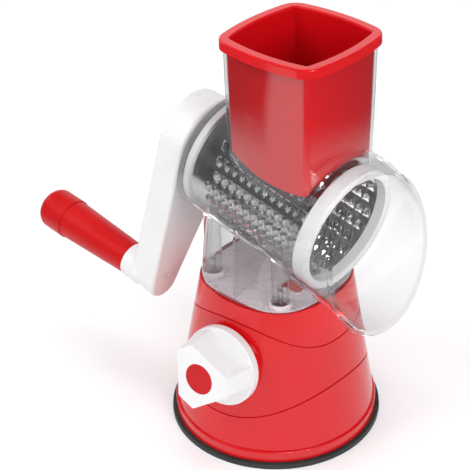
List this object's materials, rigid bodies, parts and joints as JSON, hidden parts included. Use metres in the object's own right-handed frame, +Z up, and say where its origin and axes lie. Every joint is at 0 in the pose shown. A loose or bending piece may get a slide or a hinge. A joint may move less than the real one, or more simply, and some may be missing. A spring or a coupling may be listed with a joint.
{
  "type": "rotary drum shredder",
  "caption": "Hand cranked drum shredder: clear barrel with feed chute and pusher, toothed steel drum, crank and a suction base with a lock knob.",
  "frame": {"origin": "centre of the suction foot where it rests on the table", "axes": "+Z up; +X the horizontal direction the food leaves in, away from the crank; the lock knob faces -Y"},
  "size_m": [0.2368, 0.1342, 0.238],
  "materials": {
    "rubber": "matt black rubber",
    "red_shell": "glossy red moulding",
    "red_grip": "glossy red moulding",
    "white_plastic": "satin white moulding",
    "clear_plastic": "polished clear moulding",
    "steel_blade": "polished sheet steel",
    "steel_fixing": "plated steel",
    "grey_nylon": "natural nylon"
  },
  "bodies": {
    "housing": {"clear_housing": "clear_plastic", "base_shell": "red_shell", "base_plate": "grey_nylon", "suction_cup": "rubber", "shaft_bush": "grey_nylon", "housing_screws": "steel_fixing", "plate_screws": "steel_fixing"},
    "crank": {"crank_arm": "white_plastic", "drum_blade": "steel_blade", "drum_front_ring": "white_plastic", "drum_rear_hub": "white_plastic", "drive_shaft": "steel_fixing", "hub_screw": "steel_fixing", "grip_spindle": "steel_fixing"},
    "grip": {"handle_grip": "red_grip", "grip_cap": "red_grip"},
    "pusher": {"pusher": "red_shell"},
    "knob": {"lock_knob": "white_plastic", "knob_insert": "red_grip", "knob_screw": "steel_fixing", "cam_shaft": "grey_nylon"},
    "lifter": {"lift_pin": "grey_nylon"}
  },
  "joints": [
    {"name": "crank_turn", "type": "hinge", "parent": "housing", "child": "crank", "pos_m": [0, 0, 0.1477], "axis": [0.9815, 0, -0.1917], "continuous": true},
    {"name": "grip_spin", "type": "hinge", "parent": "crank", "child": "grip", "pos_m": [-0.07858, -0.0258, 0.074], "axis": [-0.9899, 0, 0.1418], "continuous": true},
    {"name": "pusher_slide", "type": "slide", "parent": "housing", "child": "pusher", "axis": [0, 0, 1], "range_m": [0, 0.072]},
    {"name": "knob_turn", "type": "hinge", "parent": "housing", "child": "knob", "pos_m": [0.00572, -0.04628, 0.0578], "axis": [0.0998, -0.9826, 0.1564], "range_deg": [0, 90]},
    {"name": "cup_lift", "type": "slide", "parent": "housing", "child": "lifter", "axis": [0, 0, 1], "range_m": [0, 0.0028], "deforming": ["suction_cup"]}
  ],
  "couplings": [
    {"joint": "cup_lift", "follows": "knob_turn", "m_per_rad": 0.0017606}
  ]
}
